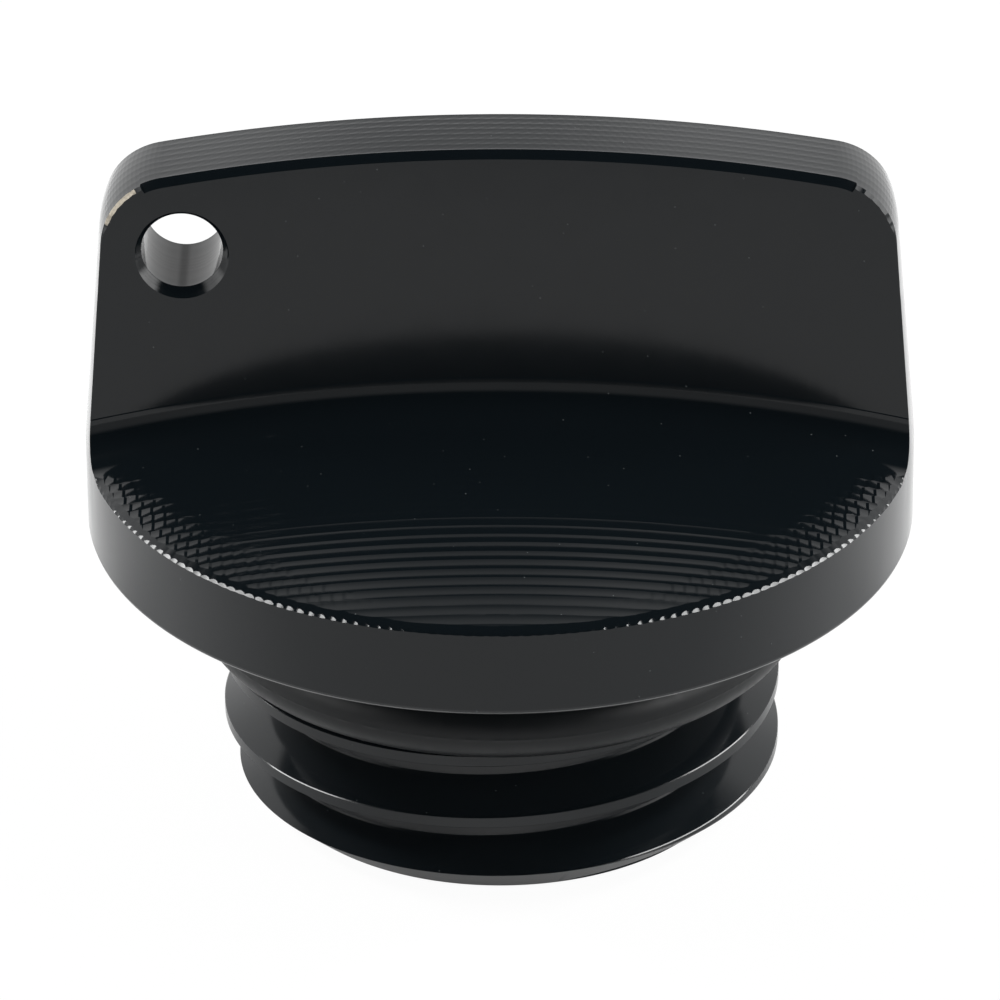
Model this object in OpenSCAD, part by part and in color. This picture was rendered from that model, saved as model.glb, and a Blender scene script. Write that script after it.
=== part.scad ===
// Screw-in oil filler cap: a flanged, threaded spigot with a finger blade milled across its top,
// and the rubber seal that sits in the neck under the flange.
// Z runs up the thread's axis, the blade lies along X, and z = 0 is the end of the spigot.

/* [Flange] */
// Diameter of the flange
flange_d = 29.4; // [27:0.1:40]
// Height of the flange's straight rim
rim_h = 2.9; // [2:0.05:5]
// Chamfer round the flange's lower edge
lower_chamfer = 0.25; // [0.1:0.05:0.6]
// Chamfer round the flange's upper edge, on both sides of the blade
upper_chamfer = 0.25; // [0.1:0.05:0.6]
// Radius of the shallow dome on top of the flange
dome_r = 63; // [50:0.5:120]

/* [Finger blade] */
// Height of the blade above the flange's straight rim
blade_h = 11.9; // [9:0.1:18]
// Thickness of the blade at its top
blade_t = 3.25; // [2.6:0.05:5]
// Draft of the blade's two faces, in degrees
face_draft = 3.3; // [1:0.1:5]
// Draft of the blade's two ends, in degrees
end_draft = 4.9; // [2:0.1:7]
// Radius of the arc along the blade's top
top_arc_r = 65.5; // [40:0.5:120]
// Radius of the blade's two top corners
corner_r = 2.65; // [2:0.05:5]
// Chamfer along the blade's top edges
top_chamfer = 0.25; // [0.1:0.05:0.5]
// Fillet between the blade and the dome
foot_fillet = 1.55; // [0.6:0.05:2.4]

/* [Lock wire hole] */
// Diameter of the hole through the blade
wire_hole_d = 2.9; // [1.5:0.05:3.4]
// Distance from the thread's axis to the hole's
wire_hole_x = 11.05; // [8:0.05:12]
// Depth of the hole's axis below the top of the blade
wire_hole_drop = 3.8; // [3:0.05:6]
// Chamfer round each mouth of the hole
wire_hole_chamfer = 0.23; // [0.1:0.01:0.4]

/* [Threaded spigot] */
// Length of the spigot below the flange
spigot_l = 10.6; // [9.5:0.1:16]
// Outer diameter of the thread
thread_d = 20; // [18:0.5:22]
// Pitch of the thread
thread_pitch = 2.5; // [2.25:0.25:2.75]
// Width of the flat crest
crest_w = 0.4; // [0.2:0.05:0.75]
// Radial depth of the groove, cut as a right-hand helix
thread_depth = 1.5; // [0.5:0.05:1.6]
// Length of the threaded stretch, from the end of the spigot
thread_l = 6.25; // [5:0.05:7]
// Height of the crest at the front, above the end of the spigot
crest_start = 1.06; // [0:0.01:2.5]
// Radial width of the chamfer at the end of the spigot
end_chamfer = 1.6; // [0.5:0.1:2]
// Height of the chamfer at the end of the spigot
end_chamfer_h = 1.4; // [0.5:0.05:2]
// Slope of the shoulder between the thread and the neck, in degrees
shoulder_slope = 10; // [0:1:30]
// Diameter of the neck above the thread
neck_d = 16.6; // [15.5:0.1:17]

/* [Blind bore] */
// Diameter of the bore in the end of the spigot
bore_d = 13; // [8:0.5:14]
// Depth of the bore to the start of its drill point
bore_depth = 9; // [6:0.5:11]
// Included angle of the drill point, in degrees
drill_angle = 118; // [90:1:140]
// Chamfer at the mouth of the bore
bore_chamfer = 0.5; // [0.2:0.1:1]

/* [Seal] */
// Thickness of the seal's round section
seal_section = 2.4; // [1.8:0.1:3]
// Inner diameter of the seal
seal_inner_d = 17.3; // [16.9:0.1:18.4]
// Clearance between the seal and the shoulder that it rests on
seal_clearance = 0.02; // [0.01:0.01:0.1]

/* [Hidden] */

flange_r = flange_d / 2;
thread_r = thread_d / 2;
neck_r = neck_d / 2;
root_r = thread_r - thread_depth;
flank_angle = 30;

rim_bottom = spigot_l + lower_chamfer;
rim_top = rim_bottom + rim_h;
draft_z = rim_top + upper_chamfer;
blade_top = rim_top + blade_h;

// The dome meets the upper chamfer's inner edge
dome_z = draft_z - sqrt(pow(dome_r, 2) - pow(flange_r - upper_chamfer, 2));

// Distance from the dome's centre to a blade face, along the face's normal
face_offset = blade_t / 2 * cos(face_draft) + (blade_top - dome_z) * sin(face_draft);

// Centre of a corner, tangent to the top arc and to the drafted end
arc_z = blade_top - top_arc_r;
corner_reach = top_arc_r - corner_r;
end_line = flange_r - (arc_z - draft_z) * tan(end_draft) - corner_r / cos(end_draft);
corner_turn = acos(end_line * cos(end_draft) / corner_reach) + end_draft;
corner_x = corner_reach * cos(corner_turn);
corner_z = arc_z + corner_reach * sin(corner_turn);

wire_hole_z = blade_top - wire_hole_drop;
wire_face_y = blade_t / 2 + wire_hole_drop * tan(face_draft);

// The seal rests on the shoulder at the top of the thread
shoulder_z = thread_l + (thread_r - neck_r) * tan(shoulder_slope);
seal_r = (seal_inner_d + seal_section) / 2;
seal_gap = seal_section / 2 + seal_clearance;
seal_z = thread_l + (seal_gap - (seal_r - thread_r) * sin(shoulder_slope)) / cos(shoulder_slope);

spare = 1;
helix_steps = 36;
body_colour = [0.05, 0.05, 0.055];
seal_colour = [0.1, 0.1, 0.1];
$fn = 96;

cap_body();
o_ring();

module cap_body() {
  color(body_colour)
    difference() {
      union() {
        head_blank();
        spigot();
      }
      for (side = [0, 1])
        mirror([0, side, 0]) {
          scoop();
          rim_chamfer();
        }
      top_chamfers();
      wire_hole();
      blind_bore();
      thread_groove();
    }
}

module o_ring() {
  color(seal_colour)
    translate([0, 0, seal_z])
      rotate_extrude()
        translate([seal_r, 0])
          circle(d = seal_section);
}

// The turned blank of the flange and the blade: a straight rim, a drafted cone above it, a round
// corner and a shallow domed top
module head_blank() {
  rotate_extrude()
    polygon(concat(
      [
        [0, spigot_l],
        [flange_r - lower_chamfer, spigot_l],
        [flange_r, rim_bottom],
        [flange_r, draft_z]
      ],
      arc(corner_x, corner_z, corner_r, end_draft, corner_turn, 16),
      arc(0, arc_z, top_arc_r, corner_turn, 90, 12, 1)
    ));
}

// Points along an arc; one that carries on from another leaves out its own start, with first = 1
function arc(x, y, r, start, end, steps, first = 0) = [
  for (i = [first:steps])
    let (turn = start + (end - start) * i / steps)
      [x + r * cos(turn), y + r * sin(turn)]
];

// The two chamfers along the blade's top, cut as cones about the arc's axis
module top_chamfers() {
  reach = blade_t;
  flat = blade_t / 2 - top_chamfer;
  for (side = [0, 1])
    mirror([0, side, 0])
      translate([0, 0, arc_z])
        rotate([90, 0, 0])
          rotate([0, 0, corner_turn - 10])
            rotate_extrude(angle = 200 - 2 * corner_turn)
              polygon([
                [top_arc_r + spare, flat - spare],
                [top_arc_r - reach, flat + reach],
                [top_arc_r + spare, flat + reach]
              ]);
}

// The milled space in front of the blade. It turns about the normal of the blade's face through the
// dome's centre, so the dome is part of a ball and the fillet is part of a ring.
module scoop() {
  ball_t = face_offset + foot_fillet;
  ball_r = sqrt(pow(dome_r + foot_fillet, 2) - pow(ball_t, 2));
  ball_turn = atan(ball_t / ball_r);
  deep_turn = 25;
  spread = 40;
  facing_blade()
    rotate([0, 0, 90 - spread / 2])
      rotate_extrude(angle = spread)
        polygon(concat(
          arc(ball_r, ball_t, foot_fillet, -90, -180 + ball_turn, 10),
          arc(0, 0, dome_r, ball_turn, deep_turn, 24, 1),
          [
            [dome_r + blade_h, dome_r * sin(deep_turn)],
            [dome_r + blade_h, face_offset]
          ]
        ));
}

// The chamfer round the rim in front of the blade
module rim_chamfer() {
  intersection() {
    rotate_extrude()
      polygon([
        [flange_r + spare, rim_top - spare],
        [flange_r - upper_chamfer - spare, draft_z + spare],
        [flange_r + spare, draft_z + spare]
      ]);
    facing_blade()
      translate([-flange_d, dome_r / 2, face_offset]) cube([2 * flange_d, dome_r, flange_d]);
  }
}

// Places a child with z along the normal of the blade's front face, from the dome's centre
module facing_blade() {
  translate([0, 0, dome_z])
    rotate([90 - face_draft, 0, 0])
      children();
}

module wire_hole() {
  wire_r = wire_hole_d / 2;
  translate([-wire_hole_x, 0, wire_hole_z])
    rotate([90, 0, 0]) {
      cylinder(h = 2 * (wire_face_y + spare), d = wire_hole_d, center = true);
      for (side = [0, 1])
        mirror([0, 0, side])
          translate([0, 0, wire_face_y - wire_hole_chamfer])
            cylinder(h = spare, r1 = wire_r, r2 = wire_r + spare);
    }
}

module spigot() {
  rotate_extrude()
    polygon([
      [0, 0],
      [thread_r - end_chamfer, 0],
      [thread_r, end_chamfer_h],
      [thread_r, thread_l],
      [neck_r, shoulder_z],
      [neck_r, spigot_l + spare],
      [0, spigot_l + spare]
    ]);
}

module blind_bore() {
  bore_r = bore_d / 2;
  rotate_extrude()
    polygon([
      [0, -spare],
      [bore_r + bore_chamfer + spare, -spare],
      [bore_r, bore_chamfer],
      [bore_r, bore_depth],
      [0, bore_depth + bore_r / tan(drill_angle / 2)]
    ]);
}

// The helical groove, swept as one closed skin from below the spigot's end to the neck
module thread_groove() {
  outer_r = thread_r + 0.3;
  root_w = thread_pitch - crest_w - 2 * thread_depth * tan(flank_angle);
  outer_w = root_w + 2 * (outer_r - root_r) * tan(flank_angle);
  section = [
    [root_r, -root_w / 2],
    [outer_r, -outer_w / 2],
    [outer_r, outer_w / 2],
    [root_r, root_w / 2]
  ];
  corners = len(section);
  groove_z = crest_start - thread_pitch / 2;
  first = -helix_steps;
  last = ceil((thread_l + thread_pitch - groove_z) / thread_pitch * helix_steps);
  rings = last - first + 1;
  points = [
    for (i = [first:last], p = section)
      let (turn = i * 360 / helix_steps)
        [p[0] * sin(turn), -p[0] * cos(turn), groove_z + thread_pitch * turn / 360 + p[1]]
  ];
  sides = [
    for (i = [0:rings - 2], k = [0:corners - 1])
      let (a = i * corners + k, b = i * corners + (k + 1) % corners)
        each [[a, b, b + corners], [a, b + corners, a + corners]]
  ];
  start_cap = [for (k = [corners - 1:-1:0]) k];
  end_cap = [for (k = [0:corners - 1]) (rings - 1) * corners + k];
  polyhedron(points = points, faces = concat(sides, [start_cap, end_cap]), convexity = 6);
}
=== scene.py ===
import math

import bpy
import mathutils
import numpy as np
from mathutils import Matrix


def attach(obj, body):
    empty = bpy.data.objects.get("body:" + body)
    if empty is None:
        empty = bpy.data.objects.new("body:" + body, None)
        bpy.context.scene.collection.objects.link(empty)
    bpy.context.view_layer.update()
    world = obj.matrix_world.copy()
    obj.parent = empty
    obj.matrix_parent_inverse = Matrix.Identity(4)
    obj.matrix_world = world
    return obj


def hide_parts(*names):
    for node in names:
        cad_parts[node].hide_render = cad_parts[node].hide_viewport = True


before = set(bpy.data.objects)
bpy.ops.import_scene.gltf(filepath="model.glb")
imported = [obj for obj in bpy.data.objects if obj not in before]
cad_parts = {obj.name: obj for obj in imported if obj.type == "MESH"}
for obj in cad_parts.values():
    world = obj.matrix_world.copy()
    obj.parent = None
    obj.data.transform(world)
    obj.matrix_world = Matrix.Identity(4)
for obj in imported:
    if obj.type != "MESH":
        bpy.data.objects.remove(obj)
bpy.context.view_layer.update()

# The camera looks at the front of the finger blade from above, as the photograph does, from so far
# away that the cap is hardly foreshortened.
view_height = math.radians(28.89)
view_distance = 0.294
view_target = np.array([-0.00002, 0.0, 0.010966])
lens_length = 296.47
film_width = 36.0
shift = 0.06
view_aside = np.array([shift * film_width / lens_length * view_distance, 0.0, 0.0])
lens = bpy.data.cameras.new("long_lens")
lens.sensor_width = film_width
lens.lens = lens_length
lens.shift_x = -shift
lens.clip_start = 0.01
lens.clip_end = 10.0
camera = bpy.data.objects.new("long_lens", lens)
view_way = np.array([0.0, -math.cos(view_height), math.sin(view_height)])
camera.location = view_target + view_aside + view_distance * view_way
tilt = mathutils.Matrix.Rotation(math.pi / 2 - view_height, 3, "X")
roll = mathutils.Matrix.Rotation(math.radians(-0.1), 3, "Z")
camera.rotation_euler = (tilt @ roll).to_euler()
bpy.context.scene.collection.objects.link(camera)
bpy.context.scene.camera = camera
bpy.context.scene.view_settings.view_transform = "Standard"

# The table is a white sweep that the cap stands on. It is lit softly and keeps a pale shadow round
# the end of the spigot. Its colour is painted darker towards the front, as painted shade that the
# cap's faces reflect.
table_size = 0.15
half = table_size / 2
table_mesh = bpy.data.meshes.new("white_table")
table_corners = [(-half, -half, 0), (half, -half, 0), (half, half, 0), (-half, half, 0)]
table_mesh.from_pydata(table_corners, [], [(0, 1, 2, 3)])
table = bpy.data.objects.new("white_table", table_mesh)
bpy.context.scene.collection.objects.link(table)
paper = bpy.data.materials.new("white_paper")
paper.use_nodes = True
paper_nodes = paper.node_tree.nodes
paper_links = paper.node_tree.links
paper_nodes.clear()
paper_out = paper_nodes.new("ShaderNodeOutputMaterial")
paper_mix = paper_nodes.new("ShaderNodeMixShader")
paper_matt = paper_nodes.new("ShaderNodeBsdfDiffuse")
paper_where = paper_nodes.new("ShaderNodeTexCoord")
paper_split = paper_nodes.new("ShaderNodeSeparateXYZ")
# Painted shade: the paper's colour falls from 0.95 to 0.55 towards the front of the table, in place of less
# light falling there
paper_front_shade = paper_nodes.new("ShaderNodeMapRange")
paper_front_shade.inputs["From Min"].default_value = -0.025
paper_front_shade.inputs["From Max"].default_value = -0.004
paper_front_shade.inputs["To Min"].default_value = 0.55
paper_front_shade.inputs["To Max"].default_value = 0.95
paper_glow = paper_nodes.new("ShaderNodeEmission")
paper_glow.inputs["Color"].default_value = (1, 1, 1, 1)
paper_glow.inputs["Strength"].default_value = 1.02
paper_path = paper_nodes.new("ShaderNodeLightPath")
paper_share = paper_nodes.new("ShaderNodeMath")
paper_share.operation = "MULTIPLY_ADD"
paper_share.inputs[1].default_value = 0.84
paper_share.inputs[2].default_value = 0.1
paper_links.new(paper_where.outputs["Object"], paper_split.inputs[0])
paper_links.new(paper_split.outputs["Y"], paper_front_shade.inputs["Value"])
paper_links.new(paper_front_shade.outputs[0], paper_matt.inputs["Color"])
paper_links.new(paper_path.outputs["Is Camera Ray"], paper_share.inputs[0])
paper_links.new(paper_share.outputs[0], paper_mix.inputs[0])
paper_links.new(paper_matt.outputs[0], paper_mix.inputs[1])
paper_links.new(paper_glow.outputs[0], paper_mix.inputs[2])
paper_links.new(paper_mix.outputs[0], paper_out.inputs["Surface"])
table_mesh.materials.append(paper)

# The studio is a white cove with a dark ceiling: its wall is white low down all round, and higher up
# at the back than at the front. The camera itself sees plain white.
studio = bpy.data.worlds.new("studio")
bpy.context.scene.world = studio
studio.use_nodes = True
sky_nodes = studio.node_tree.nodes
sky_links = studio.node_tree.links
sky_nodes.clear()
sky_out = sky_nodes.new("ShaderNodeOutputWorld")
sky_light = sky_nodes.new("ShaderNodeBackground")
sky_way = sky_nodes.new("ShaderNodeTexCoord")
sky_split = sky_nodes.new("ShaderNodeSeparateXYZ")
sky_links.new(sky_way.outputs["Generated"], sky_split.inputs[0])


def sky_math(operation, first, second=None, third=None):
    """One sum of the studio's light: the named operation on two or three numbers or sockets."""
    node = sky_nodes.new("ShaderNodeMath")
    node.operation = operation
    for place, value in enumerate((first, second, third)):
        if value is None:
            continue
        if isinstance(value, (int, float)):
            node.inputs[place].default_value = value
        else:
            sky_links.new(value, node.inputs[place])
    return node.outputs[0]


def sky_ramp(value, start, end, low, high):
    """A smooth step: the value's place between the two ends gives a level between low and high."""
    ramp = sky_nodes.new("ShaderNodeMapRange")
    ramp.interpolation_type = "SMOOTHSTEP"
    sky_links.new(value, ramp.inputs["Value"])
    for socket, number in (("From Min", start), ("From Max", end), ("To Min", low), ("To Max", high)):
        if isinstance(number, (int, float)):
            ramp.inputs[socket].default_value = number
        else:
            sky_links.new(number, ramp.inputs[socket])
    return ramp.outputs[0]


# The wall's upper edge rises from 9 degrees at the front to 62 degrees at the back. It is pale at the
# front and bright at the back, where a duller panel stands above the bright foot.
way_x = sky_split.outputs["X"]
way_y = sky_split.outputs["Y"]
height = sky_math("ARCSINE", sky_split.outputs["Z"])
square_y = sky_math("ADD", sky_math("MULTIPLY", way_y, way_y), 1e-6)
across = sky_math("SQRT", sky_math("ADD", sky_math("MULTIPLY", way_x, way_x), square_y))
backness = sky_math("DIVIDE", way_y, across)
bend = sky_math("ADD", math.radians(26.5), sky_math("MULTIPLY", backness, math.radians(8.5)))
edge = sky_math("ADD", math.radians(27.0), sky_math("MULTIPLY", backness, bend))
soft = sky_math("ADD", math.radians(9.0), sky_math("MULTIPLY", backness, math.radians(3.0)))
below_edge = sky_math("SUBTRACT", sky_math("ADD", edge, soft), height)
fall = sky_math("DIVIDE", below_edge, sky_math("MULTIPLY", soft, 2.0))
foot = sky_ramp(backness, -0.95, 0.3, 0.35, 1.1)
off_middle = sky_math("ABSOLUTE", sky_math("ADD", way_x, 0.03))
panel_side = sky_ramp(off_middle, 0.03, 0.16, 0.64, 1.0)
panel = sky_math("MULTIPLY", panel_side, sky_ramp(backness, -0.95, 0.0, 0.35, 1.0))
level = sky_ramp(height, math.radians(14.0), math.radians(25.0), foot, panel)
level = sky_math("MULTIPLY", level, sky_ramp(height, math.radians(36.0), math.radians(46.0), 1.0, 0.68))
ceiling = 0.004
wall = sky_ramp(fall, 0.0, 1.0, ceiling, level)

# Two small lamps at the front left and right light the blade's chamfered edges and the hole's mouth
glow_start = math.cos(math.radians(25))
glow_full = math.cos(math.radians(9))
glows = []
for toward, strength in (((-0.86, -0.34, 0.377), 2.0), ((0.86, -0.34, 0.377), 4.0)):
    near = sky_nodes.new("ShaderNodeVectorMath")
    near.operation = "DOT_PRODUCT"
    sky_links.new(sky_way.outputs["Generated"], near.inputs[0])
    near.inputs[1].default_value = toward
    glows.append(sky_ramp(near.outputs["Value"], glow_start, glow_full, 0.0, strength))
lit = sky_math("ADD", wall, sky_math("ADD", glows[0], glows[1]))
sky_path = sky_nodes.new("ShaderNodeLightPath")
sky_strength = sky_math("MAXIMUM", lit, sky_path.outputs["Is Camera Ray"])
sky_links.new(sky_strength, sky_light.inputs["Strength"])
sky_light.inputs["Color"].default_value = (1, 1, 1, 1)
sky_links.new(sky_light.outputs[0], sky_out.inputs["Surface"])

# Two long softboxes hang left and right of the cap. Each runs from low at the back to high at the
# front and faces the cap.
for side in (-1, 1):
    box_light = bpy.data.lights.new("softbox_left" if side < 0 else "softbox_right", "AREA")
    box_light.shape = "RECTANGLE"
    box_light.size = 0.11
    box_light.size_y = 0.5
    box_light.energy = 2.4
    softbox = bpy.data.objects.new(box_light.name, box_light)
    box_distance = 0.6
    way = np.array([side * 0.72, 0.06, 0.69])
    way = way / np.linalg.norm(way)
    along = np.array([side * 0.33, 0.79, -0.42])
    along = along - way * (along @ way)
    along = along / np.linalg.norm(along)
    stand = np.eye(4)
    stand[:3, :3] = np.stack([np.cross(along, way), along, way], axis=1)
    stand[:3, 3] = box_distance * way + np.array([0.0, 0.0, 0.014])
    softbox.matrix_world = mathutils.Matrix(stand.tolist())
    bpy.context.scene.collection.objects.link(softbox)

# The cap is one piece of black anodised aluminium, turned from bar and then milled on both sides of
# its finger blade. All sizes here are in millimetres, and the mesh is brought to metres at the end.
flange_r = 14.7
spigot_l = 10.6
rim_bottom = spigot_l + 0.25
rim_top = rim_bottom + 2.9
draft_z = rim_top + 0.25
blade_top = rim_top + 11.9
dome_r = 63.0
dome_z = draft_z - math.sqrt(dome_r ** 2 - (flange_r - 0.25) ** 2)
draft = math.radians(3.3)
half_top = 1.625
face_offset = half_top * math.cos(draft) + (blade_top - dome_z) * math.sin(draft)
foot_fillet = 1.55
end_draft = math.radians(4.9)
top_arc_r = 65.5
arc_z = blade_top - top_arc_r
corner_r = 2.65
corner_reach = top_arc_r - corner_r
end_line = flange_r - (arc_z - draft_z) * math.tan(end_draft) - corner_r / math.cos(end_draft)
corner_turn = math.acos(end_line * math.cos(end_draft) / corner_reach) + end_draft
corner_x = corner_reach * math.cos(corner_turn)
corner_z = arc_z + corner_reach * math.sin(corner_turn)


def ring_solid(name, rings):
    """A closed solid from rings of points: each ring joins the next with four-sided faces, and the
    first and last rings are closed by a fan of triangles to their middles."""
    rows, around, _ = rings.shape
    index = np.arange(rows * around).reshape(rows, around)
    ahead = np.roll(index, -1, axis=1)
    quads = np.stack([index[:-1], ahead[:-1], ahead[1:], index[1:]], axis=-1).reshape(-1, 4)
    first_hub = rows * around
    last_hub = first_hub + 1
    first_fan = np.stack([ahead[0], index[0], np.full(around, first_hub)], axis=-1)
    last_fan = np.stack([index[-1], ahead[-1], np.full(around, last_hub)], axis=-1)
    points = np.concatenate([rings.reshape(-1, 3), rings[:1].mean(axis=1), rings[-1:].mean(axis=1)])
    corners = points[quads]
    volume = np.einsum("ij,ij->", corners[:, 0], np.cross(corners[:, 1], corners[:, 2]))
    volume += np.einsum("ij,ij->", corners[:, 0], np.cross(corners[:, 2], corners[:, 3]))
    for fan in (first_fan, last_fan):
        tips = points[fan]
        volume += np.einsum("ij,ij->", tips[:, 0], np.cross(tips[:, 1], tips[:, 2]))
    if volume < 0:
        quads = quads[:, ::-1]
        first_fan = first_fan[:, ::-1]
        last_fan = last_fan[:, ::-1]
    mesh = bpy.data.meshes.new(name)
    mesh.from_pydata(points.tolist(), [], quads.tolist() + first_fan.tolist() + last_fan.tolist())
    solid = bpy.data.objects.new(name, mesh)
    bpy.context.scene.collection.objects.link(solid)
    return solid


def turned(name, radius, height, around):
    """A solid turned about the thread's axis: each pair of a radius and a height is one ring."""
    turn = np.linspace(0, 2 * np.pi, around, endpoint=False)
    radius, height = np.asarray(radius, float)[:, None], np.asarray(height, float)[:, None]
    rings = np.stack([radius * np.cos(turn), radius * np.sin(turn), height + 0 * turn], axis=-1)
    return ring_solid(name, rings)


# The bar is turned first: a broken lower edge, a plain rim, and a cone for the ends of the blade
cone_z = 20.0
cone_r = flange_r - (cone_z - draft_z) * math.tan(end_draft)
head_radius = [flange_r - 0.25, flange_r - 0.11, flange_r - 0.03, flange_r, flange_r,
               cone_r, cone_r + 0.3, cone_r + 0.3]
head_height = [spigot_l, spigot_l + 0.07, spigot_l + 0.16, rim_bottom, draft_z,
               cone_z, cone_z + 1.2, 28.0]
head = turned("head", head_radius, head_height, 720)

# A ball mill then clears both sides of the blade in straight passes along it. Its passes leave low
# ridges across the dome, and near the rim's left and right ends it stepped, so they end in facets.
pass_w = 0.468
pass_depth = 0.0138
cell_w = 0.41
cell_depth = 0.03
ledge = 0.03
rows_in_pass = 7
rng = np.random.default_rng(7)

ridge = np.arange(-9, 16)
ridge_y = 7.722 + pass_w * ridge + 0.008 * (-1.0) ** ridge
ridge_y = ridge_y[ridge_y > 3.8]
step = np.arange(rows_in_pass) / rows_in_pass
pass_rows = (ridge_y[:-1, None] + np.diff(ridge_y)[:, None] * step).ravel()
pass_dip = np.tile(pass_depth * 4 * step * (1 - step), len(ridge_y) - 1)
pass_number = np.repeat(np.arange(len(ridge_y) - 1), rows_in_pass)
pass_rows = np.append(pass_rows, 15.3)
pass_dip = np.append(pass_dip, 0.0)
pass_number = np.append(pass_number, len(ridge_y) - 1)

end_gap = np.concatenate([[-0.5, -0.1], np.arange(0.0, 2.9, 0.06), [3.1, 3.4, 3.9]])


def columns(half_width, gap):
    """Places along the blade for each row: set distances in from both ends, and even steps between."""
    reach = half_width[:, None] - gap
    middle = reach[:, -1:] * np.linspace(-1, 1, 15)[1:-1]
    return np.concatenate([-reach, middle, reach[:, ::-1]], axis=1)


def dome_rows():
    """The dome: the height of a ball over the plan, less the dip of each pass, which is a shallow
    parabola across it, and less the facets' dip, which falls outward in a straight line and steps back
    up at the facet's outer end, and fades in from the rim."""
    y = -pass_rows[::-1]
    dip = pass_dip[::-1]
    number = pass_number[::-1]
    pass_middle = np.append((ridge_y[:-1] + ridge_y[1:]) / 2, 14.4)[number]
    pass_end = np.sqrt(np.maximum(flange_r ** 2 - pass_middle ** 2, 20.0))
    jitter = rng.uniform(-0.1, 0.1, len(ridge_y))[number]
    marks = (cell_w * np.arange(7)[:, None] + np.array([0.0, 0.05, 0.11, 0.18, 0.26, 0.34, 0.405])).ravel()
    gap = np.concatenate([[-0.9, -0.5], marks - 0.3, [3.1, 3.4, 3.9]])[None] + jitter[:, None]
    x = columns(pass_end, gap)
    y = y[:, None] + 0 * x
    along = (pass_end[:, None] - np.abs(x) - jitter[:, None] + 0.3) / cell_w + 1e-6
    cell = np.floor(along).astype(int)
    part = along - cell
    strength = rng.uniform(0.75, 1.2, (len(ridge_y), 2, 64))
    side = (x > 0).astype(int)
    strength = strength[number[:, None], side, np.clip(cell, 0, 63)]
    inward = flange_r - np.hypot(x, y)
    fade = np.clip((2.15 - inward) / 0.9, 0, 1) * np.clip((13.1 - np.abs(y)) / 2.0, 0, 1)
    facet = cell_depth * np.minimum(part / 0.268, (1 - part) / 0.732) * strength * fade
    facet = np.where((along > 0) & (cell < 7), facet, 0.0)
    z = dome_z + np.sqrt(dome_r ** 2 - x ** 2 - y ** 2) - dip[:, None] - facet
    return np.stack([x, y, z], axis=-1)


def fillet_rows():
    """The fillet and the blade's face: points of a section are carried round the axis that stands on
    the face through the dome's middle, so the fillet is part of a ring and the face is a plane."""
    ring_t = face_offset + foot_fillet
    ring_r = math.sqrt((dome_r + foot_fillet) ** 2 - ring_t ** 2)
    lean = math.atan2(ring_t, ring_r)
    turn = np.linspace(-math.pi + lean, -math.pi / 2, 18)
    share = (turn - turn[0]) / (turn[-1] - turn[0])
    out = ring_r + foot_fillet * np.cos(turn)
    off = ring_t + foot_fillet * np.sin(turn) + ledge * share ** 2
    out = np.concatenate([out, [ring_r + 0.035, ring_r + 3.0, ring_r + 8.0, 27.0 - dome_z]])
    off = np.concatenate([off, [face_offset] * 4])
    y0 = -off * math.cos(draft) + out * math.sin(draft)
    x = columns(np.sqrt(flange_r ** 2 - y0 ** 2), end_gap)
    rise = np.sqrt(out[:, None] ** 2 - x ** 2)
    y = -off[:, None] * math.cos(draft) + rise * math.sin(draft)
    z = dome_z + off[:, None] * math.sin(draft) + rise * math.cos(draft)
    return np.stack([x, y, z], axis=-1)


front = np.concatenate([dome_rows(), fillet_rows()])
back = front[::-1] * np.array([1.0, -1.0, 1.0])
upper = np.concatenate([front, back])
lower = upper[:, [-1, 0]].copy()
lower[:, :, 2] = 5.0
milled = ring_solid("milled", np.concatenate([upper, lower], axis=1))

# The top of the blade is milled along its length: a shallow arc, a round corner at each end, and a
# chamfer on both edges. At the front it stops short on the corners, where a finer one carries on.
top_pass_depth = 0.007
top_chamfer = 0.25


def half_thickness(z):
    """Half of the blade's thickness at a height, from the draft of its faces."""
    return (face_offset - (z - dome_z) * math.sin(draft)) / math.cos(draft)


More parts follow.
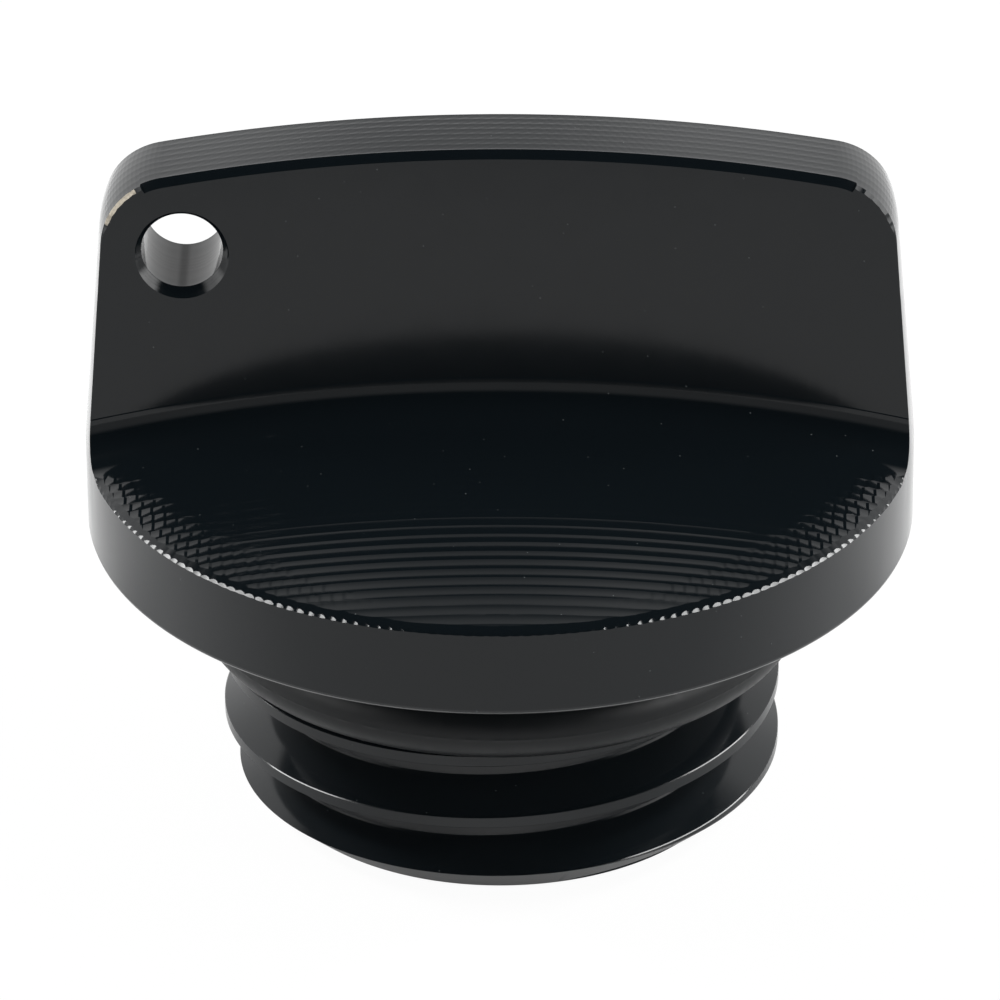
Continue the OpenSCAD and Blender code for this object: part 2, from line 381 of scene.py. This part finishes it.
def outline_rings():
    """The skin over the blade's ends, corners and top: each point lies on the turned blank, moved in
    along the surface by the ridges' dips in the middle and by the chamfer beyond its edge."""
    corner = np.linspace(end_draft, corner_turn, 118)
    corner_rad = corner_x + corner_r * np.cos(corner)
    corner_up = corner_z + corner_r * np.sin(corner)
    low_up = np.array([5.0, 10.0, 14.0, 16.0, 18.0, cone_z, cone_z + 0.8])
    low_rad = flange_r - (low_up - draft_z) * math.tan(end_draft) + np.maximum(cone_z - low_up, 0) * 0.12
    side_rad = np.concatenate([low_rad, corner_rad])
    side_up = np.concatenate([low_up, corner_up])
    side_turn = np.concatenate([np.full(len(low_up), end_draft), corner])
    top = np.linspace(-1, 1, 281)[1:-1]

    run = np.clip((corner - end_draft) / (corner_turn - end_draft), 0, 1)
    nick = np.abs(np.sin(run * math.pi * 9)) * np.clip(run / 0.25, 0, 1)
    front_width = np.where(run > 0.78, 0.25, (0.1 + 0.015 * nick) * np.clip(run / 0.2, 0.3, 1))
    back_width = 0.03 + 0.22 * np.clip((run - 0.1) / 0.9, 0, 1)
    spread = half_thickness(side_up) + np.clip(cone_z + 1.0 - side_up, 0.0, 5.0)
    side_front = spread - np.concatenate([np.zeros(len(low_up)), front_width])
    side_back = spread - np.concatenate([np.zeros(len(low_up)), back_width])
    side_ridge = np.concatenate([np.zeros(len(low_up)), 0.6 * np.clip(run * 3, 0, 1)])
    notch = (run * 19.0) % 1.0
    step_dip = 0.003 * 4 * notch * (1 - notch) * np.clip(run * 3, 0, 1)
    side_step = np.concatenate([np.zeros(len(low_up)), step_dip])
    side_cut = np.concatenate([np.zeros(len(low_up)), np.ones(len(run))])

    top_x = top * (corner_x + corner_r * math.cos(corner_turn))
    top_edge = half_thickness(arc_z + np.sqrt(top_arc_r ** 2 - top_x ** 2)) - top_chamfer

    ridges = 7
    steps = ridges * 5
    share = np.arange(-steps, steps + 1) / steps
    beat = (share * ridges / 2 + 0.5) % 1.0
    dip = top_pass_depth * 4 * beat * (1 - beat)
    outer = np.array([0.06, 0.15, 0.3, 0.7])

    def across(front_edge, back_edge):
        """Distances across the blade for each station: an even spread to each chamfer, then beyond."""
        inner = np.where(share < 0, front_edge[:, None], back_edge[:, None]) * share
        before = -front_edge[:, None] - outer[::-1]
        beyond = back_edge[:, None] + outer
        return np.concatenate([before, inner, beyond], axis=1)

    def sink(ridge_share, cut_share):
        """How far each point moves in: the ridges' dip, or the distance past the chamfer's edge."""
        inner = dip * ridge_share[:, None]
        beyond = outer * cut_share[:, None]
        return np.concatenate([beyond[:, ::-1], inner, beyond], axis=1)

    side_y = across(side_front, side_back)
    side_in = sink(side_ridge, side_cut)
    side_in[:, 4:-4] += side_step[:, None]
    side_x = np.sqrt(side_rad[:, None] ** 2 - side_y ** 2)
    lean_x = np.cos(side_turn)[:, None] * side_x / side_rad[:, None]
    right = np.stack([side_x - side_in * lean_x, side_y,
                      side_up[:, None] - side_in * np.sin(side_turn)[:, None]], axis=-1)
    left = right * np.array([-1.0, 1.0, 1.0])

    top_y = across(top_edge, top_edge)
    join = corner_x + corner_r * math.cos(corner_turn)
    x = top[:, None] * np.sqrt(join ** 2 - top_y ** 2)
    rise = np.sqrt(top_arc_r ** 2 - x ** 2 - top_y ** 2)
    top_in = sink(np.ones(len(top)), np.ones(len(top)))
    weave = np.sin(x * 19.0 + top_y * 14.0) + np.sin(x * 13.0 - top_y * 23.0) + np.sin(x * 31.0 + top_y * 5.0)
    top_in = top_in + np.where(np.abs(top_y) < top_edge[:, None], 0.0009 * (weave + 3.0), 0.0)
    over = np.stack([x * (1 - top_in / top_arc_r), top_y, arc_z + rise * (1 - top_in / top_arc_r)], axis=-1)
    skin = np.concatenate([left, over, right[::-1]]).transpose(1, 0, 2)
    far = np.array([1.0, 0.0, 1.0])
    return np.concatenate([skin[:1] * far + [0, -16.0, 0], skin, skin[-1:] * far + [0, 16.0, 0]])


outline = ring_solid("outline", outline_rings())

# Round the rim the mill left a row of small dished facets, in front of the blade and behind it. The
# row runs out where the foot of the blade reaches the rim.
bead_count = 228
bead_depth = 0.018
bead_steps = 8
bead_crease_drop = 0.06
row_end_y = 3.05
lift_start_y = 4.3
lift = 0.32


def bead_rings(middle):
    """A cutter for the chamfer: its section of two flats is carried round the rim, its inner side
    dips by a parabola at each facet, the crease between its flats drops between two facets, and near
    both ends it moves out until it clears the metal."""
    first = math.asin(row_end_y / flange_r)
    facets = int((math.pi - 2 * first) / (2 * math.pi / bead_count))
    half_arc = facets * math.pi / bead_count
    turn = np.linspace(-half_arc, half_arc, facets * bead_steps + 1)
    share = np.arange(facets * bead_steps + 1) / bead_steps
    number = np.minimum(share.astype(int), facets - 1)
    part = share - number
    strength = rng.uniform(0.6, 1.3, facets)[number]
    dip = bead_depth * 4 * part * (1 - part) * strength
    away = math.pi / 2 - np.abs(turn)
    clear = np.clip((math.asin(lift_start_y / flange_r) - away) / math.radians(4.5), 0, 1) ** 2 * lift
    section = np.array([[14.901, 13.605], [14.614, 13.883], [14.181, 14.133], [14.181, 14.95], [15.6, 14.95],
                        [15.6, 13.605]])
    move = np.zeros((len(turn), 6))
    move[:, :3] = (clear[:, None] - dip[:, None] * np.array([1.0, 1.0, 0.5])) / math.sqrt(2)
    radius = section[:, 0] + move
    height = section[:, 1] + move
    slide = bead_crease_drop * (1 - 4 * part * (1 - part))
    radius[:, 1] += slide
    height[:, 1] -= slide
    angle = middle + turn[:, None]
    return np.stack([radius * np.cos(angle), radius * np.sin(angle), height], axis=-1)


beads_front = ring_solid("beads_front", bead_rings(-math.pi / 2))
beads_back = ring_solid("beads_back", bead_rings(math.pi / 2))

# The spigot is turned below the flange, and its thread is cut as one right-hand helical groove that
# runs out under the shoulder where the seal rests.
thread_r = 10.0
neck_r = 8.3
root_r = 8.5
thread_pitch = 2.5
crest_w = 0.4
flank = math.radians(30)
thread_l = 6.25
shoulder_z = thread_l + (thread_r - neck_r) * math.tan(math.radians(10))
spigot_radius = [8.4, 8.44, 9.97, thread_r, thread_r, 9.96, neck_r + 0.03, neck_r, neck_r]
spigot_height = [0.0, 0.02, 1.37, 1.43, thread_l - 0.03, thread_l + 0.01, shoulder_z, shoulder_z + 0.05,
                 spigot_l + 1.0]
spigot = turned("spigot", spigot_radius, spigot_height, 240)


def groove_rings():
    """The thread's groove: a section with sloping flanks and a small round at the root, carried along
    a helix of one pitch a turn, from below the spigot's end to above the shoulder."""
    root_w = thread_pitch - crest_w - 2 * (thread_r - root_r) * math.tan(flank)
    outer_r = thread_r + 0.3
    outer_w = root_w + 2 * (outer_r - root_r) * math.tan(flank)
    edge_r = thread_r - 0.03
    edge_w = root_w + 2 * (edge_r - root_r) * math.tan(flank)
    radius = np.array([root_r + 0.06, root_r, root_r, root_r + 0.06, edge_r, outer_r, outer_r, edge_r])
    drop = np.array([-root_w / 2 - 0.035, -root_w / 2 + 0.03, root_w / 2 - 0.03, root_w / 2 + 0.035,
                     edge_w / 2, outer_w / 2 + 0.09, -outer_w / 2 - 0.09, -edge_w / 2])
    first_z = 1.06 - thread_pitch / 2
    turns = np.arange(-144, int((thread_l + thread_pitch - first_z) / thread_pitch * 144)) / 144
    angle = 2 * np.pi * turns[:, None]
    height = first_z + thread_pitch * turns[:, None] + drop
    return np.stack([radius * np.sin(angle), -radius * np.cos(angle), height], axis=-1)


groove = ring_solid("groove", groove_rings())

# A blind bore lightens the spigot from below; it has a chamfered mouth and a drill point.
bore_r = 6.5
bore_depth = 9.0
bore = turned("bore", [bore_r + 1.5, bore_r, bore_r, 0.02],
              [-1.0, 0.5, bore_depth, bore_depth + bore_r / math.tan(math.radians(59))], 192)

# The lock wire hole is drilled through the left end of the blade and chamfered from both sides; the
# drill left fine rings in it.
wire_r = 1.43
wire_x = -11.05
wire_drop = 3.8
wire_z = blade_top - wire_drop
wire_face = half_top + wire_drop * math.tan(draft)


def wire_rings():
    """The hole's cutter: circles along the hole, whose radius ripples in the hole and opens at 45
    degrees in three small steps at each mouth."""
    inner = np.linspace(0, wire_face - 0.23, 28)
    ripple = 0.0016 * np.abs(np.sin(inner * 9.0 + 2.0 * np.sin(inner * 3.1)))
    ripple = ripple + 0.0007 * np.abs(np.sin(inner * 29.0))
    open_y = np.array([0.0, 0.07, 0.08, 0.15, 0.16, 1.0])
    open_r = np.array([0.0, 0.08, 0.08, 0.16, 0.16, 1.0])
    half_y = np.concatenate([inner[1:], wire_face - 0.205 + open_y])
    half_r = wire_r + np.concatenate([ripple[1:], 0.004 + open_r])
    y = np.concatenate([-half_y[::-1], [0.0], half_y])[:, None]
    radius = np.concatenate([half_r[::-1], [wire_r], half_r])[:, None]
    turn = np.linspace(0, 2 * np.pi, 80, endpoint=False)
    return np.stack([wire_x + radius * np.cos(turn), y + 0 * turn, wire_z + radius * np.sin(turn)], axis=-1)


wire_hole = ring_solid("wire_hole", wire_rings())

for cutter, work in ((milled, "INTERSECT"), (outline, "INTERSECT"), (beads_front, "DIFFERENCE"),
                     (beads_back, "DIFFERENCE"), (spigot, "UNION"), (groove, "DIFFERENCE"),
                     (bore, "DIFFERENCE"), (wire_hole, "DIFFERENCE")):
    cut = head.modifiers.new(cutter.name, "BOOLEAN")
    cut.operation = work
    cut.object = cutter
    cut.solver = "MANIFOLD"
bpy.context.view_layer.update()
graph = bpy.context.evaluated_depsgraph_get()
cap_mesh = bpy.data.meshes.new_from_object(head.evaluated_get(graph))
cap_mesh.name = "cap_skin"
cap_mesh.materials.clear()
places = np.empty(len(cap_mesh.vertices) * 3, np.float32)
cap_mesh.vertices.foreach_get("co", places)
cap_mesh.vertices.foreach_set("co", places * 0.001)
cap_mesh.update()
for scrap in (head, milled, outline, beads_front, beads_back, spigot, groove, bore, wire_hole):
    bpy.data.objects.remove(scrap)
cap_skin = bpy.data.objects.new("cap_skin", cap_mesh)
bpy.context.scene.collection.objects.link(cap_skin)
cap_mesh.shade_smooth()
cap_mesh.set_sharp_from_angle(angle=math.radians(8.5))
print("cap triangles", sum(len(p.vertices) - 2 for p in cap_mesh.polygons))


def anodised(name, streak_scale, streak_height, blur):
    """Black anodised aluminium: a nearly black, glossy film over metal that was cut with fine lines.
    The lines are noise stretched by a different scale on each axis and read as height, and a pale
    speck lies round each point that a cell pattern puts close to the surface: partly dust, partly
    painted glints standing in for ridge crests that catch the light."""
    material = bpy.data.materials.new(name)
    material.use_nodes = True
    nodes = material.node_tree.nodes
    links = material.node_tree.links
    film = nodes["Principled BSDF"]
    film.inputs["IOR"].default_value = 1.47
    where = nodes.new("ShaderNodeTexCoord")
    # Pale specks on the film: partly dust, partly painted glints where the ridge crests catch the light
    dust_and_glint_specks = nodes.new("ShaderNodeTexVoronoi")
    dust_and_glint_specks.inputs["Scale"].default_value = 1500.0
    links.new(where.outputs["Object"], dust_and_glint_specks.inputs["Vector"])
    near = nodes.new("ShaderNodeMapRange")
    near.inputs["From Min"].default_value = 0.02
    near.inputs["From Max"].default_value = 0.045
    near.inputs["To Min"].default_value = 1.0
    near.inputs["To Max"].default_value = 0.0
    links.new(dust_and_glint_specks.outputs["Distance"], near.inputs["Value"])
    tint = nodes.new("ShaderNodeMix")
    tint.data_type = "RGBA"
    tint.inputs["A"].default_value = (0.0041, 0.0062, 0.0078, 1)
    tint.inputs["B"].default_value = (0.09, 0.1, 0.1, 1)
    links.new(near.outputs[0], tint.inputs["Factor"])
    links.new(tint.outputs["Result"], film.inputs["Base Color"])
    stretch = nodes.new("ShaderNodeMapping")
    stretch.inputs["Scale"].default_value = streak_scale
    links.new(where.outputs["Object"], stretch.inputs["Vector"])
    grain = nodes.new("ShaderNodeTexNoise")
    grain.inputs["Scale"].default_value = 1.0
    grain.inputs["Detail"].default_value = 3.0
    links.new(stretch.outputs["Vector"], grain.inputs["Vector"])
    bump = nodes.new("ShaderNodeBump")
    bump.inputs["Strength"].default_value = 1.0
    bump.inputs["Distance"].default_value = streak_height
    links.new(grain.outputs["Fac"], bump.inputs["Height"])
    links.new(bump.outputs["Normal"], film.inputs["Normal"])
    cloud = nodes.new("ShaderNodeTexNoise")
    cloud.inputs["Scale"].default_value = 900.0
    cloud.inputs["Detail"].default_value = 2.0
    links.new(where.outputs["Object"], cloud.inputs["Vector"])
    dull = nodes.new("ShaderNodeMapRange")
    dull.inputs["To Min"].default_value = blur
    dull.inputs["To Max"].default_value = blur + 0.06
    links.new(cloud.outputs["Fac"], dull.inputs["Value"])
    links.new(dull.outputs[0], film.inputs["Roughness"])
    return material


cap_mesh.materials.append(anodised("black_anodising_milled", (900, 900, 900), 0.0000006, 0.08))
cap_mesh.materials.append(anodised("black_anodising_face", (4000, 60, 90), 0.0000022, 0.10))
cap_mesh.materials.append(anodised("black_anodising_turned", (300, 300, 5000), 0.0000006, 0.10))

# The film is worn through to pale metal along the front edge of the blade's left corner
worn = bpy.data.materials.new("bare_aluminium_edge")
worn.use_nodes = True
worn_skin = worn.node_tree.nodes["Principled BSDF"]
worn_skin.inputs["Metallic"].default_value = 1.0
worn_skin.inputs["Roughness"].default_value = 0.35
worn_where = worn.node_tree.nodes.new("ShaderNodeTexCoord")
worn_noise = worn.node_tree.nodes.new("ShaderNodeTexNoise")
worn_noise.inputs["Scale"].default_value = 9000.0
worn_tint = worn.node_tree.nodes.new("ShaderNodeMix")
worn_tint.data_type = "RGBA"
worn_tint.inputs["A"].default_value = (0.1, 0.09, 0.075, 1)
worn_tint.inputs["B"].default_value = (0.5, 0.45, 0.37, 1)
worn.node_tree.links.new(worn_where.outputs["Object"], worn_noise.inputs["Vector"])
worn.node_tree.links.new(worn_noise.outputs["Fac"], worn_tint.inputs["Factor"])
worn.node_tree.links.new(worn_tint.outputs["Result"], worn_skin.inputs["Base Color"])
cap_mesh.materials.append(worn)
count = len(cap_mesh.polygons)
normal = np.empty(count * 3, np.float32)
middle = np.empty(count * 3, np.float32)
cap_mesh.polygons.foreach_get("normal", normal)
cap_mesh.polygons.foreach_get("center", middle)
normal = normal.reshape(-1, 3)
middle = middle.reshape(-1, 3) * 1000

# The polished faces, the turned surfaces and the worn edge each have their own material
kind = np.zeros(count, np.int32)
kind[(np.abs(normal[:, 1]) > 0.99) & (middle[:, 2] > 15.0) & (np.abs(middle[:, 1]) < 3.0)] = 1
kind[middle[:, 2] < draft_z - 0.3] = 2
corner_angle = np.arctan2(middle[:, 2] - corner_z, -middle[:, 0] - corner_x)
corner_distance = np.hypot(middle[:, 0] + corner_x, middle[:, 2] - corner_z)
at_corner = (middle[:, 0] < 0) & (middle[:, 2] > corner_z) & (corner_distance > corner_r - 0.2)
on_stretch = (corner_angle > math.radians(22)) & (corner_angle < math.radians(60))
on_edge = (np.abs(normal[:, 1] + 0.675) < 0.225) & (np.abs(middle[:, 1] + 1.7) < 0.5)
kind[at_corner & on_stretch & on_edge] = 3
cap_mesh.polygons.foreach_set("material_index", kind)
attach(cap_skin, "root")
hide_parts("cap_body")

# The seal is a moulded rubber ring of round section that rests on the shoulder above the thread. A
# fine flash line runs round it where the two halves of its mould met.
seal_r = 9.85
seal_section_r = 1.2
seal_z = thread_l + (1.22 - (seal_r - thread_r) * math.sin(math.radians(10))) / math.cos(math.radians(10))


def seal_points():
    """A round section carried round a circle; the flash is a narrow, low rise on the section at its
    outermost and innermost points."""
    round_turn = np.linspace(0, 2 * np.pi, 720, endpoint=False)[:, None]
    fine = np.sort(np.concatenate([np.linspace(0, 2 * np.pi, 56, endpoint=False),
                                   [0.02, 0.05, 2 * np.pi - 0.02, 2 * np.pi - 0.05]]))
    ragged = 0.5 + 0.5 * np.sin(round_turn * 41 + 3 * np.sin(round_turn * 17)) * np.sin(round_turn * 67)
    flash = 0.02 * ragged * np.exp(-(np.sin(fine) / 0.03) ** 2) - 0.02
    radius = seal_section_r + flash
    out = seal_r + radius * np.cos(fine)
    return np.stack([out * np.cos(round_turn), out * np.sin(round_turn),
                     seal_z + radius * np.sin(fine) + 0 * round_turn], axis=-1)


ring = seal_points()
rows, around, _ = ring.shape
index = np.arange(rows * around).reshape(rows, around)
ahead = np.roll(index, -1, axis=1)
beyond = np.roll(index, -1, axis=0)
corner = np.roll(ahead, -1, axis=0)
ring_faces = np.stack([index, beyond, corner, ahead], axis=-1).reshape(-1, 4)
seal_mesh = bpy.data.meshes.new("seal_ring")
seal_mesh.from_pydata((ring.reshape(-1, 3) * 0.001).tolist(), [], ring_faces.tolist())
seal = bpy.data.objects.new("seal_ring", seal_mesh)
bpy.context.scene.collection.objects.link(seal)
seal_mesh.shade_smooth()
rubber = bpy.data.materials.new("black_rubber")
rubber.use_nodes = True
rubber_nodes = rubber.node_tree.nodes
rubber_links = rubber.node_tree.links
rubber_skin = rubber_nodes["Principled BSDF"]
rubber_skin.inputs["Base Color"].default_value = (0.005, 0.0065, 0.0075, 1)
rubber_skin.inputs["IOR"].default_value = 1.37
rubber_where = rubber_nodes.new("ShaderNodeTexCoord")
rubber_grain = rubber_nodes.new("ShaderNodeTexNoise")
rubber_grain.inputs["Scale"].default_value = 2500.0
rubber_grain.inputs["Detail"].default_value = 3.0
rubber_links.new(rubber_where.outputs["Object"], rubber_grain.inputs["Vector"])
rubber_bump = rubber_nodes.new("ShaderNodeBump")
rubber_bump.inputs["Strength"].default_value = 1.0
rubber_bump.inputs["Distance"].default_value = 0.000004
rubber_links.new(rubber_grain.outputs["Fac"], rubber_bump.inputs["Height"])
rubber_links.new(rubber_bump.outputs["Normal"], rubber_skin.inputs["Normal"])
rubber_dull = rubber_nodes.new("ShaderNodeMapRange")
rubber_dull.inputs["To Min"].default_value = 0.3
rubber_dull.inputs["To Max"].default_value = 0.5
rubber_links.new(rubber_grain.outputs["Fac"], rubber_dull.inputs["Value"])
rubber_links.new(rubber_dull.outputs[0], rubber_skin.inputs["Roughness"])
seal_mesh.materials.append(rubber)
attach(seal, "root")
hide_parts("o_ring")
